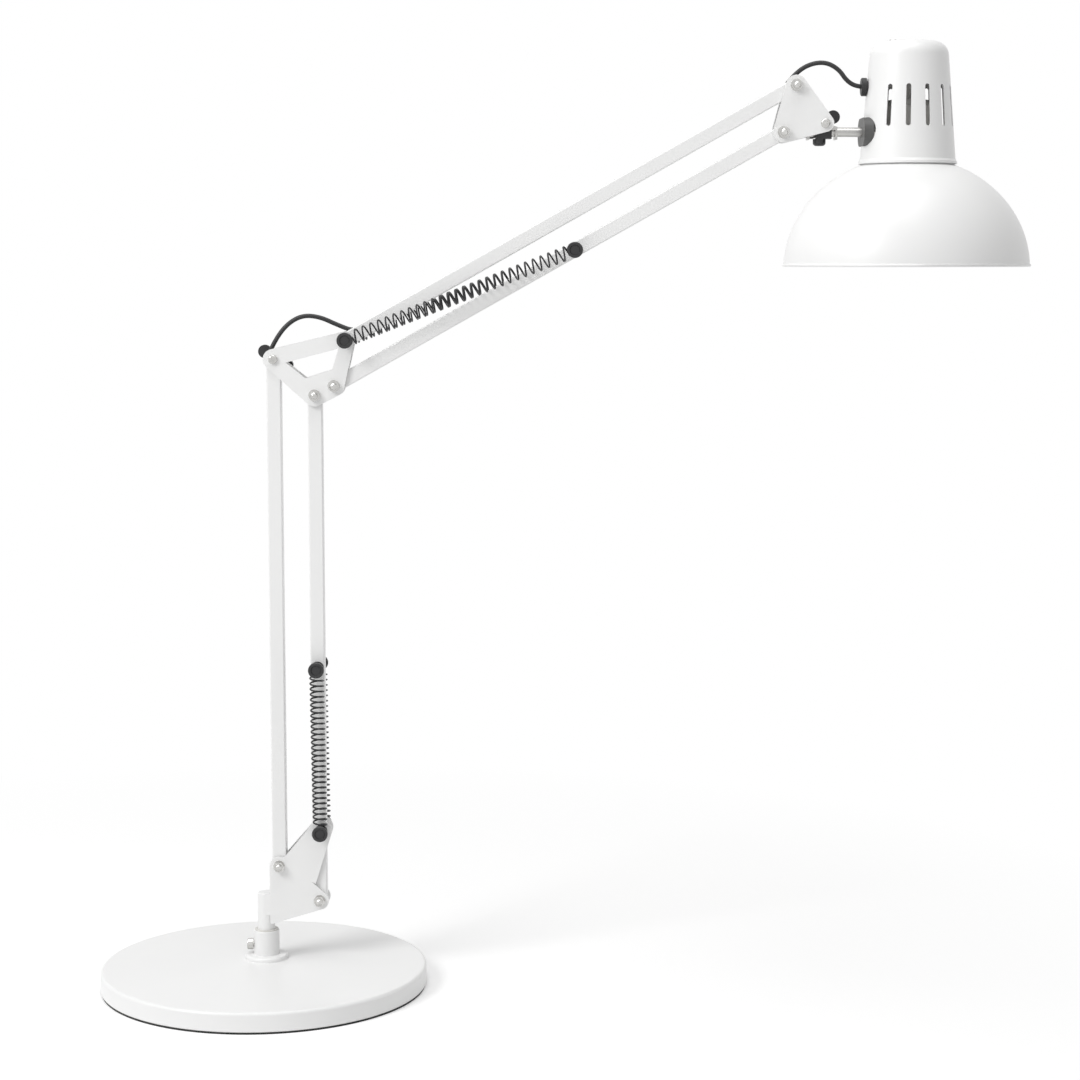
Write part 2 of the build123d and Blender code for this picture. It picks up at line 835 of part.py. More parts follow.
head_circles = [(head_u, head_lobe), (head_l, head_lobe), (head_t, tilt_lobe)]
head_holes = [(head_u, bolt_radius), (head_l, bolt_radius), (head_t, lock_screw_radius)]
head_plate_front = hull_plate(head_circles, -plate_inside, head_holes)
save(head_plate_front, "head_plate_front")
head_plate_rear = hull_plate(head_circles, plate_outside, head_holes)
save(head_plate_rear, "head_plate_rear")

head_pivots = [head_u, head_l]
head_pivot_bolts = pivot_bolts(head_pivots)
save(head_pivot_bolts, "head_pivot_bolts")
head_dome_nuts = dome_nuts(head_pivots)
save(head_dome_nuts, "head_dome_nuts")
head_washers = washers(head_pivots, bolt_radius, outer_layers + inner_layers)
save(head_washers, "head_washers")
tilt_screw = pan_screw(head_t, lock_screw_radius, knob_end)
save(tilt_screw, "tilt_screw")
tilt_knob = wing_knob(head_t, tilt_knob_angle, lock_screw_radius + running_gap)
save(tilt_knob, "tilt_knob")

# ---------------------------------------------------------------- stem clamp

clamp_half = plate_inside - clamp_side_gap
clamp_low = head_t[1] - clamp_bottom
clamp_x0 = head_t[0] - clamp_left
clamp_x1 = head_t[0] + clamp_right
with BuildPart() as clamp_carrier:
    with BuildSketch(side(clamp_half)):
        with Locations(head_t):
            Circle(clamp_ear_radius)
        with BuildLine():
            Polyline((clamp_x0, clamp_low), (clamp_x1, clamp_low), (clamp_x1, head_t[1] - clamp_shoulder),
                     head_t, (clamp_x0, head_t[1] - clamp_shoulder), close=True)
        make_face()
    extrude(amount=2 * clamp_half)
    with BuildSketch(side(clamp_half - clamp_wall)):
        with Locations(((clamp_x0 + clamp_x1) / 2, head_t[1])):
            Rectangle(clamp_x1 - clamp_x0 - 2 * clamp_wall, 4 * clamp_ear_radius)
    extrude(amount=2 * (clamp_half - clamp_wall), mode=Mode.SUBTRACT)
    with BuildSketch(side(clamp_half)):
        with Locations(((clamp_x0 + clamp_x1) / 2, head_t[1] - clamp_cheek)):
            Rectangle(clamp_x1 - clamp_x0 - 2 * clamp_wall, 2 * clamp_bottom,
                      align=(Align.CENTER, Align.MAX))
    extrude(amount=2 * clamp_half, mode=Mode.SUBTRACT)
    with BuildSketch(side(clamp_half)):
        with Locations(head_t):
            Circle(lock_screw_radius + running_gap)
    extrude(amount=2 * clamp_half, mode=Mode.SUBTRACT)
    with BuildSketch(Plane.YZ.offset(clamp_x0)):
        with Locations((0, stem_z)):
            Circle(stem_radius + running_gap)
    extrude(amount=clamp_x1 - clamp_x0, mode=Mode.SUBTRACT)
save(clamp_carrier, "clamp_carrier")

block_low = clamp_low + block_lift
block_top = head_t[1] - lock_screw_radius - 2 * running_gap
with BuildPart() as clamp_block:
    with BuildSketch(side(clamp_half - clamp_wall - block_gap)):
        with Locations((head_t[0] + (block_right - block_left) / 2, (block_low + block_top) / 2)):
            Rectangle(block_left + block_right, block_top - block_low)
    extrude(amount=2 * (clamp_half - clamp_wall - block_gap))
    with BuildSketch(Plane.YZ.offset(clamp_x0)):
        with Locations((0, stem_z)):
            Circle(stem_radius + running_gap)
    extrude(amount=clamp_x1 - clamp_x0, mode=Mode.SUBTRACT)
    with BuildSketch(Plane.XY.offset(block_low)):
        with Locations((head_t[0] - stem_knob_left, 0)):
            Circle(stem_knob_shank + running_gap)
    extrude(amount=stem_z - block_low, mode=Mode.SUBTRACT)
save(clamp_block, "clamp_block")

with BuildPart() as stem_knob:
    with BuildSketch(Plane.XY.offset(block_low - running_gap - stem_knob_height)):
        with Locations((head_t[0] - stem_knob_left, 0)):
            Circle(stem_knob_radius)
    extrude(amount=stem_knob_height)
    fillet(stem_knob.edges().group_by(Axis.Z)[0], stem_knob_round)
    with BuildSketch(Plane.XY.offset(clamp_low - running_gap)):
        with Locations((head_t[0] - stem_knob_left, 0)):
            Circle(stem_knob_shank)
    extrude(amount=stem_z - stem_radius - clamp_low)
save(stem_knob, "stem_knob")

# ---------------------------------------------------------------- head

strap_x = head_x - strap_offset
stem_start = clamp_x0 + stem_inset
stem_end = strap_x + strap_thickness / 2 + stem_nut_thickness + stem_overhang
with BuildPart() as stem:
    with BuildSketch(Plane.YZ.offset(stem_start)):
        with Locations((0, stem_z)):
            Circle(stem_radius)
            Circle(stem_bore, mode=Mode.SUBTRACT)
    extrude(amount=stem_end - stem_start)
save(stem, "stem")

with BuildPart() as stem_nut:
    with BuildSketch(Plane.YZ.offset(strap_x + strap_thickness / 2)):
        with Locations((0, stem_z)):
            RegularPolygon(stem_nut_flats / 2, 6, major_radius=False)
            Circle(stem_radius + running_gap, mode=Mode.SUBTRACT)
    extrude(amount=stem_nut_thickness)
save(stem_nut, "stem_nut")

wall_lean = (housing_base_radius - housing_top_radius) / (housing_height - 2 * housing_flare_height)


def wall_radius(height):
    """The housing's outer radius at a height."""
    return housing_base_radius - (height - housing_z - 2 * housing_flare_height) * wall_lean


guide_start = head_x - wall_radius(stem_z) - guide_overhang
with BuildPart() as stem_guide:
    with BuildSketch(Plane.YZ.offset(guide_start)):
        with Locations((0, stem_z)):
            SlotOverall(side_opening_width - 2 * guide_gap, side_opening_height - 2 * guide_gap)
            Circle(stem_radius + running_gap, mode=Mode.SUBTRACT)
    extrude(amount=strap_x - strap_thickness / 2 - guide_start)
save(stem_guide, "stem_guide")

holder_low = collar_z - holder_bottom
inside_top = housing_top - housing_wall
strap_z = inside_top - strap_thickness / 2
with BuildPart() as holder_strap:
    with BuildSketch(side(strap_width / 2)):
        with BuildLine():
            FilletPolyline(
                (strap_x, stem_z - strap_bottom),
                (strap_x, stem_z + strap_shoulder),
                (head_x - strap_top_left, strap_z),
                (head_x + strap_reach, strap_z),
                radius=strap_bend,
            )
        trace(line_width=strap_thickness)
    extrude(amount=strap_width)
    with BuildSketch(Plane.YZ.offset(strap_x - strap_thickness)):
        with Locations((0, stem_z)):
            Circle(stem_radius + running_gap)
    extrude(amount=2 * strap_thickness, mode=Mode.SUBTRACT)
    with BuildSketch(Plane.XY.offset(inside_top)):
        with Locations(*[(head_x + place, 0) for place in housing_screw_places]):
            Circle(housing_screw_radius)
    extrude(amount=-2 * strap_thickness, mode=Mode.SUBTRACT)
save(holder_strap, "holder_strap")

holder_top = holder_low + holder_height
neck_top = inside_top - strap_thickness
screw_depth = housing_wall + strap_thickness + holder_screw_length
with BuildPart() as lampholder:
    with BuildSketch(side(0)):
        with BuildLine():
            Polyline(
                (head_x, holder_low + holder_bore_depth),
                (head_x + holder_bore, holder_low + holder_bore_depth),
                (head_x + holder_bore, holder_low),
                (head_x + holder_radius, holder_low),
                (head_x + holder_radius, holder_top - holder_shoulder_height),
                (head_x + holder_radius - holder_shoulder_width, holder_top),
                (head_x + holder_neck_radius, holder_top + holder_shoulder_height / 4),
                (head_x + holder_neck_radius, neck_top - holder_foot_height),
                (head_x + holder_neck_radius + holder_foot_width, neck_top - holder_foot_height),
                (head_x + holder_neck_radius + holder_foot_width, neck_top),
                (head_x, neck_top),
                close=True,
            )
        make_face()
    revolve(axis=Axis((head_x, 0, 0), (0, 0, 1)))
    with BuildSketch(Plane.XY.offset(neck_top)):
        with Locations(*[(head_x + place, 0) for place in housing_screw_places]):
            Circle(housing_screw_radius + running_gap)
    extrude(amount=-holder_screw_depth, mode=Mode.SUBTRACT)
save(lampholder, "lampholder")

with BuildPart() as bulb_cap:
    with BuildSketch(Plane.XY.offset(holder_low + holder_bore_depth - bulb_seat_gap)):
        with Locations((head_x, 0)):
            Circle(bulb_cap_radius)
    extrude(amount=-bulb_cap_height)
    fillet(bulb_cap.edges().group_by(Axis.Z)[-1], bulb_cap_round)
save(bulb_cap, "bulb_cap")

cap_low = holder_low + holder_bore_depth - bulb_seat_gap - bulb_cap_height
bulb_low = cap_low - bulb_length
bulb_centre = bulb_low + bulb_radius


def bulb_profile(inset):
    """Half section of the bulb, drawn in by its wall: a round globe with a straight neck."""
    neck = head_x + bulb_neck_radius - inset
    with BuildSketch(side(0)) as half:
        with BuildLine():
            globe = CenterArc((head_x, bulb_centre), bulb_radius - inset, -90, bulb_globe_arc)
            shoulder = Spline(globe @ 1, (neck, cap_low - bulb_neck_height), tangents=(globe % 1, (0, 1)))
            Polyline(shoulder @ 1, (neck, cap_low), (head_x, cap_low), globe @ 0)
        make_face()
    return half


with BuildPart() as bulb_glass:
    add(bulb_profile(0.0).sketch)
    revolve(axis=Axis((head_x, 0, 0), (0, 0, 1)))
    add(bulb_profile(bulb_wall).sketch)
    revolve(axis=Axis((head_x, 0, 0), (0, 0, 1)), mode=Mode.SUBTRACT)
save(bulb_glass, "bulb_glass")


def housing_outline(inset):
    """Half section of the tapered housing, drawn in by a wall."""
    low = housing_z - (1.0 if inset else 0.0)
    with BuildSketch(side(0)) as half:
        with BuildLine():
            Polyline(
                (head_x, low),
                (head_x + housing_flare_radius - inset, low),
                (head_x + housing_flare_radius - inset, housing_z + housing_flare_height),
                (head_x + housing_base_radius - inset, housing_z + 2 * housing_flare_height),
                (head_x + housing_top_radius - inset, housing_top - inset),
                (head_x, housing_top - inset),
                close=True,
            )
        make_face()
        top_corner = half.vertices().group_by(Axis.Y)[-1].sort_by(Axis.X)[-1]
        fillet(top_corner, housing_corner - inset)
    return half


with BuildPart() as housing:
    add(housing_outline(0.0).sketch)
    revolve(axis=Axis((head_x, 0, 0), (0, 0, 1)))
    add(housing_outline(housing_wall).sketch)
    revolve(axis=Axis((head_x, 0, 0), (0, 0, 1)), mode=Mode.SUBTRACT)
    for step in range(slot_count):
        turn = math.radians(slot_start + slot_pitch * step)
        facing = Plane(
            origin=(head_x, 0, housing_z + slot_centre_height),
            x_dir=(-math.sin(turn), math.cos(turn), 0),
            z_dir=(math.cos(turn), math.sin(turn), 0),
        )
        with BuildSketch(facing):
            SlotOverall(slot_length, slot_width, rotation=90)
        extrude(amount=2 * housing_base_radius, mode=Mode.SUBTRACT)
    with BuildSketch(Plane.YZ.offset(head_x)):
        with Locations((0, stem_z)):
            SlotOverall(side_opening_width, side_opening_height)
    extrude(amount=-2 * housing_base_radius, mode=Mode.SUBTRACT)
    with BuildSketch(Plane.YZ.offset(head_x)):
        with Locations((0, stem_z + grommet_height)):
            Circle(grommet_body + running_gap)
    extrude(amount=-2 * housing_base_radius, mode=Mode.SUBTRACT)
    with BuildSketch(Plane.XY.offset(housing_top)):
        with Locations(*[(head_x + place, 0) for place in housing_screw_places]):
            Circle(housing_screw_radius + running_gap)
    extrude(amount=-2 * housing_wall, mode=Mode.SUBTRACT)
save(housing, "housing")

with BuildPart() as housing_screws:
    with BuildSketch(Plane.XY.offset(housing_top)):
        with Locations(*[(head_x + place, 0) for place in housing_screw_places]):
            Circle(housing_screw_head)
    extrude(amount=housing_screw_head_height)
    fillet(housing_screws.edges().group_by(Axis.Z)[-1], housing_screw_round)
    with BuildSketch(Plane.XY.offset(housing_top)):
        with Locations(*[(head_x + place, 0) for place in housing_screw_places]):
            Circle(housing_screw_radius)
    extrude(amount=-screw_depth)
save(housing_screws, "housing_screws")


def angle_on_shade(height, rise):
    return math.degrees(math.asin((height - shade_centre_z) / rise))


with BuildPart() as shade:
    with BuildSketch(side(0)):
        with BuildLine():
            inner_radius = shade_radius - shade_wall
            inner_rise = shade_rise - shade_wall
            collar_angle = math.degrees(math.acos(shade_collar_radius / shade_radius))
            collar_inside = shade_collar_radius - shade_wall
            inner_angle = math.degrees(math.acos(collar_inside / inner_radius))
            outer_start = angle_on_shade(rim_z, shade_rise)
            inner_start = angle_on_shade(rim_z, inner_rise)
            outer = EllipticalCenterArc((head_x, shade_centre_z), shade_radius, shade_rise,
                                        start_angle=outer_start, arc_size=collar_angle - outer_start)
            inner = EllipticalCenterArc((head_x, shade_centre_z), inner_radius, inner_rise,
                                        start_angle=inner_start, arc_size=inner_angle - inner_start)
            Polyline(
                outer @ 1,
                (head_x + shade_collar_radius, collar_z + shade_collar_height),
                (head_x + collar_inside, collar_z + shade_collar_height),
                inner @ 1,
            )
            Line(inner @ 0, outer @ 0)
        make_face()
        with Locations((head_x + shade_radius - shade_wall / 2, rim_z)):
            Circle(shade_bead)
    revolve(axis=Axis((head_x, 0, 0), (0, 0, 1)))
save(shade, "shade")

grommet_x = head_x - wall_radius(stem_z + grommet_height)
grommet_z = stem_z + grommet_height
grommet_inner_x = grommet_x + housing_wall + grommet_seat_gap + grommet_inner_width
with BuildPart() as cord_grommet:
    with BuildSketch(side(0)):
        with BuildLine():
            Polyline(
                (grommet_x - grommet_flange, grommet_z + cord_radius + running_gap),
                (grommet_x - grommet_flange, grommet_z + grommet_radius - grommet_edge),
                (grommet_x - grommet_flange + grommet_edge, grommet_z + grommet_radius),
                (grommet_x - grommet_seat_gap, grommet_z + grommet_radius),
                (grommet_x - grommet_seat_gap, grommet_z + grommet_body),
                (grommet_x + housing_wall + grommet_seat_gap, grommet_z + grommet_body),
                (grommet_x + housing_wall + grommet_seat_gap, grommet_z + grommet_inner_flange),
                (grommet_inner_x, grommet_z + grommet_inner_flange),
                (grommet_inner_x, grommet_z + cord_radius + running_gap),
                close=True,
            )
        make_face()
    revolve(axis=Axis((grommet_x, 0, grommet_z), (1, 0, 0)))
save(cord_grommet, "cord_grommet")

# ---------------------------------------------------------------- lead

# loop over the elbow, from inside the upper bar to inside the rear bar, as steps from pivot A
elbow_loop_steps = [
    (65.8, 21.9), (56.3, 18.7), (43.8, 23.5), (31.8, 29.0), (19.8, 30.0),
    (9.3, 24.0), (1.3, 13.5), (-4.5, 1.0), (-2.2, -11.5), (0.0, -23.5),
]
elbow_route = [shifted(elbow_a, step) for step in elbow_loop_steps]
elbow_cord_loop = cord_tube(elbow_route, cord_radius)
save(elbow_cord_loop, "elbow_cord_loop")

# loop at the head, from inside the upper bar as steps from pivot U, into the housing's grommet
head_loop_steps = [
    (-28.8, -16.15), (-19.2, -10.6), (-9.5, -4.4), (-2.0, 6.6), (7.9, 14.2),
    (19.9, 16.2), (29.4, 11.2), (34.9, 3.2),
]
head_route = [shifted(head_u, step) for step in head_loop_steps]
head_route += [(grommet_x - grommet_run_out, grommet_z), (grommet_x + grommet_run_in, grommet_z)]
head_cord_loop = cord_tube(head_route, cord_radius)
save(head_cord_loop, "head_cord_loop")

with BuildPart() as rear_bar_lead:
    with BuildSketch(Plane.XY.offset(elbow_route[-1][1] - lead_gap)):
        with Locations((pivot_rear[0], 0)):
            Circle(cord_radius)
    extrude(amount=-(elbow_route[-1][1] - lead_gap - pivot_rear[1] - exit_grommet_height))
save(rear_bar_lead, "rear_bar_lead")

upper_run = Vector(head_route[0][0] - elbow_route[0][0], 0, head_route[0][1] - elbow_route[0][1])
upper_way = upper_run.normalized()
with BuildPart() as upper_bar_lead:
    start = Vector(elbow_route[0][0], 0, elbow_route[0][1]) + upper_way * lead_gap
    with BuildSketch(Plane(origin=start, z_dir=upper_way)):
        Circle(cord_radius)
    extrude(amount=upper_run.length - 2 * lead_gap)
save(upper_bar_lead, "upper_bar_lead")

exit_z = pivot_rear[1] + exit_grommet_height
with BuildPart() as exit_grommet:
    with BuildSketch(side(bar_depth / 2 + exit_grommet_flange)):
        with Locations((pivot_rear[0], exit_z)):
            Circle(exit_grommet_radius)
            Circle(cord_radius + exit_grommet_play, mode=Mode.SUBTRACT)
    extrude(amount=exit_grommet_flange)
    with BuildSketch(side(bar_depth / 2)):
        with Locations((pivot_rear[0], exit_z)):
            Circle(exit_grommet_body)
            Circle(cord_radius + exit_grommet_play, mode=Mode.SUBTRACT)
    extrude(amount=bar_wall)
save(exit_grommet, "exit_grommet")
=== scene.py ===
import json
import math

import bmesh
import bpy
from mathutils import Matrix, Vector


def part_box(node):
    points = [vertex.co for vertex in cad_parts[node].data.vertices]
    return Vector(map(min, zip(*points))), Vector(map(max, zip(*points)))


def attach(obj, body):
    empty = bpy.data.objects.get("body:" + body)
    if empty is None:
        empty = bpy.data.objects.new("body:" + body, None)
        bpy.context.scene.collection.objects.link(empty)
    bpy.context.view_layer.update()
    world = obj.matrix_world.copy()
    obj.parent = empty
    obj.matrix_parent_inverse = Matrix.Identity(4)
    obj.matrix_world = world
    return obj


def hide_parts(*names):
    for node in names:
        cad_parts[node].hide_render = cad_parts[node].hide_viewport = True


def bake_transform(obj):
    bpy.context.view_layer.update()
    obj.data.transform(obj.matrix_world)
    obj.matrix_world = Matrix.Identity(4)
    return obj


# Balanced-arm desk lamp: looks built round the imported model, in metres, front side towards -Y.

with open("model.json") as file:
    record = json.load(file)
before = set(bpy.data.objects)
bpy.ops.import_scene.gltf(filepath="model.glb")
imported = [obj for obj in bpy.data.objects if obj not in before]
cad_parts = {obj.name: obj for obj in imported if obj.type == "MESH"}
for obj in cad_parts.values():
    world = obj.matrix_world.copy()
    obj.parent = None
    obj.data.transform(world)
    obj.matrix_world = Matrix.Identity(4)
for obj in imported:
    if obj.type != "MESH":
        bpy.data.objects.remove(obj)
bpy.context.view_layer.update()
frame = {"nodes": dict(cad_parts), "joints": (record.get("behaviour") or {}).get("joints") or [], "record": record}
nodes = frame["nodes"]
joints = {joint["name"]: joint for joint in frame["joints"]}

scene = bpy.context.scene
scene.view_settings.view_transform = "Standard"

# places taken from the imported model
elbowA = Vector(joints["elbow_level"]["pos_m"])
elbowD = Vector(joints["upper_arm_tilt"]["pos_m"])
headU = Vector(joints["head_level"]["pos_m"])


def middleOf(node):
    low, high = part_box(node)
    return (low + high) / 2


springS = middleOf("lower_anchor_spools")
springQ = middleOf("front_bar_pin")
springR = middleOf("under_bar_pin")


# small helpers for shader trees

def startMaterial(name):
    material = bpy.data.materials.new(name)
    material.use_nodes = True
    tree = material.node_tree
    shader = tree.nodes["Principled BSDF"]
    coords = tree.nodes.new("ShaderNodeTexCoord")
    return material, tree, shader, coords.outputs["Object"]


def addNoise(tree, coords, scale, detail=2.0, roughness=0.5, stretch=None):
    noise = tree.nodes.new("ShaderNodeTexNoise")
    noise.inputs["Scale"].default_value = scale
    noise.inputs["Detail"].default_value = detail
    noise.inputs["Roughness"].default_value = roughness
    if stretch:
        mapping = tree.nodes.new("ShaderNodeMapping")
        mapping.inputs["Scale"].default_value = stretch
        tree.links.new(coords, mapping.inputs["Vector"])
        coords = mapping.outputs["Vector"]
    tree.links.new(coords, noise.inputs["Vector"])
    return noise.outputs["Fac"]


def addRange(tree, value, low, high, fromLow=0.3, fromHigh=0.7):
    spread = tree.nodes.new("ShaderNodeMapRange")
    spread.inputs["From Min"].default_value = fromLow
    spread.inputs["From Max"].default_value = fromHigh
    spread.inputs["To Min"].default_value = low
    spread.inputs["To Max"].default_value = high
    tree.links.new(value, spread.inputs["Value"])
    return spread.outputs["Result"]


def addTint(tree, value, first, second, fromLow=0.3, fromHigh=0.7):
    ramp = tree.nodes.new("ShaderNodeValToRGB")
    ramp.color_ramp.elements[0].position = fromLow
    ramp.color_ramp.elements[1].position = fromHigh
    ramp.color_ramp.elements[0].color = (*first, 1.0)
    ramp.color_ramp.elements[1].color = (*second, 1.0)
    tree.links.new(value, ramp.inputs["Fac"])
    return ramp.outputs["Color"]


def addBump(tree, shader, height, strength, distance):
    bump = tree.nodes.new("ShaderNodeBump")
    bump.inputs["Strength"].default_value = strength
    bump.inputs["Distance"].default_value = distance
    tree.links.new(height, bump.inputs["Height"])
    tree.links.new(bump.outputs["Normal"], shader.inputs["Normal"])
    return bump


# powder coat: a fine orange peel, a slightly uneven tone and gloss
whitePaintLook = {
    "tone": (0.885, 0.885, 0.88),
    "toneLow": (0.865, 0.865, 0.862),
    "peelScale": 900.0,
    "peelDepth": 0.00004,
    "cloudScale": 14.0,
    "roughLow": 0.30,
    "roughHigh": 0.40,
    "coat": 0.15,
    "coatRough": 0.25,
}


def makeWhitePaint():
    look = whitePaintLook
    material, tree, shader, coords = startMaterial("whitePowderCoat")
    cloud = addNoise(tree, coords, look["cloudScale"], 3.0)
    peel = addNoise(tree, coords, look["peelScale"], 2.0, 0.6)
    tint = addTint(tree, cloud, look["toneLow"], look["tone"])
    tree.links.new(tint, shader.inputs["Base Color"])
    rough = addRange(tree, cloud, look["roughLow"], look["roughHigh"])
    tree.links.new(rough, shader.inputs["Roughness"])
    shader.inputs["Coat Weight"].default_value = look["coat"]
    shader.inputs["Coat Roughness"].default_value = look["coatRough"]
    addBump(tree, shader, peel, 0.2, look["peelDepth"])
    return material


blackPlasticLook = {"tone": (0.016, 0.016, 0.017), "toneHigh": (0.028, 0.028, 0.029), "grain": 1500.0}


def makeBlackPlastic():
    look = blackPlasticLook
    material, tree, shader, coords = startMaterial("blackMouldedPlastic")
    cloud = addNoise(tree, coords, 60.0, 3.0)
    grain = addNoise(tree, coords, look["grain"], 2.0)
    tree.links.new(addTint(tree, cloud, look["tone"], look["toneHigh"]), shader.inputs["Base Color"])
    tree.links.new(addRange(tree, cloud, 0.32, 0.45), shader.inputs["Roughness"])
    addBump(tree, shader, grain, 0.4, 0.00005)
    return material


blackRubberLook = {"tone": (0.012, 0.012, 0.013), "toneHigh": (0.024, 0.024, 0.025), "grain": 1200.0}


def makeBlackRubber():
    look = blackRubberLook
    material, tree, shader, coords = startMaterial("blackCordSheath")
    cloud = addNoise(tree, coords, 90.0, 3.0)
    tree.links.new(addTint(tree, cloud, look["tone"], look["toneHigh"]), shader.inputs["Base Color"])
    tree.links.new(addRange(tree, cloud, 0.38, 0.55), shader.inputs["Roughness"])
    addBump(tree, shader, addNoise(tree, coords, look["grain"], 2.0), 0.3, 0.00004)
    return material


footPadLook = {"tone": (0.012, 0.012, 0.012), "toneHigh": (0.035, 0.035, 0.034), "grain": 700.0}


def makeFootPad():
    look = footPadLook
    material, tree, shader, coords = startMaterial("blackFoamPad")
    grain = addNoise(tree, coords, look["grain"], 4.0, 0.7)
    tree.links.new(addTint(tree, grain, look["tone"], look["toneHigh"]), shader.inputs["Base Color"])
    shader.inputs["Roughness"].default_value = 0.85
    addBump(tree, shader, grain, 0.8, 0.0002)
    return material


springSteelLook = {"tone": (0.016, 0.016, 0.017), "toneHigh": (0.05, 0.05, 0.052), "metallic": 0.6}


def makeSpringSteel():
    look = springSteelLook
    material, tree, shader, coords = startMaterial("blackSpringSteel")
    cloud = addNoise(tree, coords, 350.0, 3.0)
    tree.links.new(addTint(tree, cloud, look["tone"], look["toneHigh"]), shader.inputs["Base Color"])
    shader.inputs["Metallic"].default_value = look["metallic"]
    tree.links.new(addRange(tree, cloud, 0.28, 0.42), shader.inputs["Roughness"])
    addBump(tree, shader, addNoise(tree, coords, 2500.0, 2.0), 0.25, 0.00003)
    return material


chromeLook = {"tone": (0.52, 0.515, 0.50), "toneHigh": (0.66, 0.655, 0.64)}


def makeChrome():
    look = chromeLook
    material, tree, shader, coords = startMaterial("brightNickelPlate")
    cloud = addNoise(tree, coords, 250.0, 4.0, 0.6)
    tree.links.new(addTint(tree, cloud, look["tone"], look["toneHigh"]), shader.inputs["Base Color"])
    shader.inputs["Metallic"].default_value = 1.0
    tree.links.new(addRange(tree, cloud, 0.12, 0.24), shader.inputs["Roughness"])
    addBump(tree, shader, addNoise(tree, coords, 3000.0, 2.0), 0.15, 0.00002)
    return material


brushedSteelLook = {
    "tone": (0.40, 0.395, 0.385),
    "toneHigh": (0.60, 0.595, 0.58),
    "stretch": (0.03, 1.0, 1.0),  # streaks run along the stem
}


def makeBrushedSteel():
    look = brushedSteelLook
    material, tree, shader, coords = startMaterial("brushedStemSteel")
    streak = addNoise(tree, coords, 420.0, 4.0, 0.6, stretch=look["stretch"])
    tree.links.new(addTint(tree, streak, look["tone"], look["toneHigh"]), shader.inputs["Base Color"])
    shader.inputs["Metallic"].default_value = 1.0
    tree.links.new(addRange(tree, streak, 0.22, 0.38), shader.inputs["Roughness"])
    addBump(tree, shader, streak, 0.25, 0.00003)
    return material


holderWhiteLook = {"tone": (0.66, 0.65, 0.62), "toneHigh": (0.74, 0.73, 0.70)}


def makeHolderWhite():
    look = holderWhiteLook
    material, tree, shader, coords = startMaterial("holderThermoset")
    cloud = addNoise(tree, coords, 40.0, 3.0)
    tree.links.new(addTint(tree, cloud, look["tone"], look["toneHigh"]), shader.inputs["Base Color"])
    shader.inputs["Roughness"].default_value = 0.42
    addBump(tree, shader, addNoise(tree, coords, 900.0, 2.0), 0.2, 0.00004)
    return material


greyPlasticLook = {"tone": (0.075, 0.075, 0.074), "toneHigh": (0.10, 0.10, 0.098)}


def makeGreyPlastic():
    look = greyPlasticLook
    material, tree, shader, coords = startMaterial("greySatinPlastic")
    cloud = addNoise(tree, coords, 50.0, 3.0)
    tree.links.new(addTint(tree, cloud, look["tone"], look["toneHigh"]), shader.inputs["Base Color"])
    tree.links.new(addRange(tree, cloud, 0.40, 0.52), shader.inputs["Roughness"])
    addBump(tree, shader, addNoise(tree, coords, 1400.0, 2.0), 0.3, 0.00004)
    return material


bulbGlassLook = {"tone": (0.86, 0.86, 0.84), "toneHigh": (0.92, 0.92, 0.905), "milk": 0.35}


def makeBulbGlass():
    look = bulbGlassLook
    material, tree, shader, coords = startMaterial("frostedBulbGlass")
    cloud = addNoise(tree, coords, 30.0, 2.0)
    tree.links.new(addTint(tree, cloud, look["tone"], look["toneHigh"]), shader.inputs["Base Color"])
    tree.links.new(addRange(tree, cloud, 0.22, 0.30), shader.inputs["Roughness"])
    shader.inputs["Subsurface Weight"].default_value = look["milk"]
    shader.inputs["Subsurface Scale"].default_value = 0.004
    shader.inputs["Coat Weight"].default_value = 0.4
    return material


whitePaint = makeWhitePaint()
blackPlastic = makeBlackPlastic()
blackRubber = makeBlackRubber()
footPad = makeFootPad()
springSteel = makeSpringSteel()
chrome = makeChrome()
brushedSteel = makeBrushedSteel()
holderWhite = makeHolderWhite()
greyPlastic = makeGreyPlastic()
bulbGlass = makeBulbGlass()

slotLooks = {
    "white_paint": whitePaint,
    "foot_pad": footPad,
    "bright_fasteners": chrome,
    "brushed_steel": brushedSteel,
    "black_plastic": blackPlastic,
    "black_spring": springSteel,
    "black_rubber": blackRubber,
    "white_plastic": holderWhite,
    "grey_plastic": greyPlastic,
    "frosted_glass": bulbGlass,
}
for part in frame["record"]["subparts"]:
    node = nodes[part["node"]]
    node.data.materials.clear()
    node.data.materials.append(slotLooks[part["material_slot"]])
print("finishes on CAD nodes:", len(slotLooks))


# mesh helpers

def newPiece(name, mesh, look):
    mesh.materials.clear()
    mesh.materials.append(look)
    piece = bpy.data.objects.new(name, mesh)
    scene.collection.objects.link(piece)
    return piece


